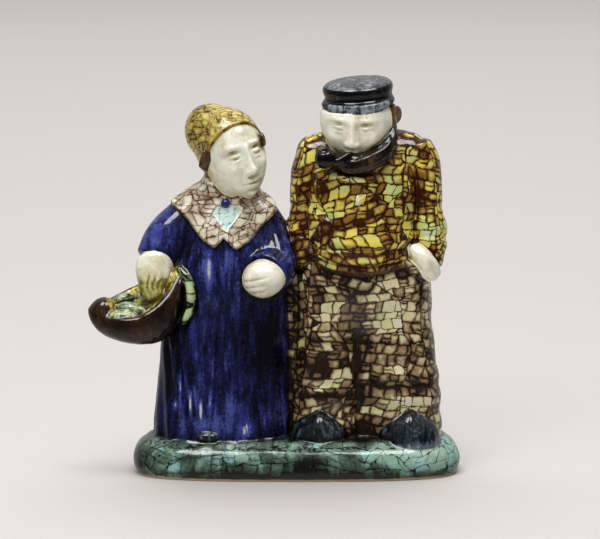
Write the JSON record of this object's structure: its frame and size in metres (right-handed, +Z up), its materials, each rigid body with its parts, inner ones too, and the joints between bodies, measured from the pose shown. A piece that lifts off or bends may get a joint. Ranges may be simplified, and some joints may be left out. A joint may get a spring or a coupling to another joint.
{
  "type": "ceramic fisher couple figurine",
  "caption": "Glazed ceramic group: a woman in gown, collar and bonnet with a basket of fish beside a bearded fisherman with cap and pipe, on one oblong base.",
  "frame": {"origin": "centre of the flat underside of the base", "axes": "+Z up, the figures face -Y, +X runs along the base from the woman's side to the man's side"},
  "size_m": [0.1975, 0.0762, 0.2129],
  "materials": {
    "crackle_glaze": "glossy multi-coloured crackle glaze over a pale body, painted in cobalt blue, yellow, brown, cream and green"
  },
  "bodies": {
    "root": {"fisher_couple": "crackle_glaze"}
  },
  "joints": []
}
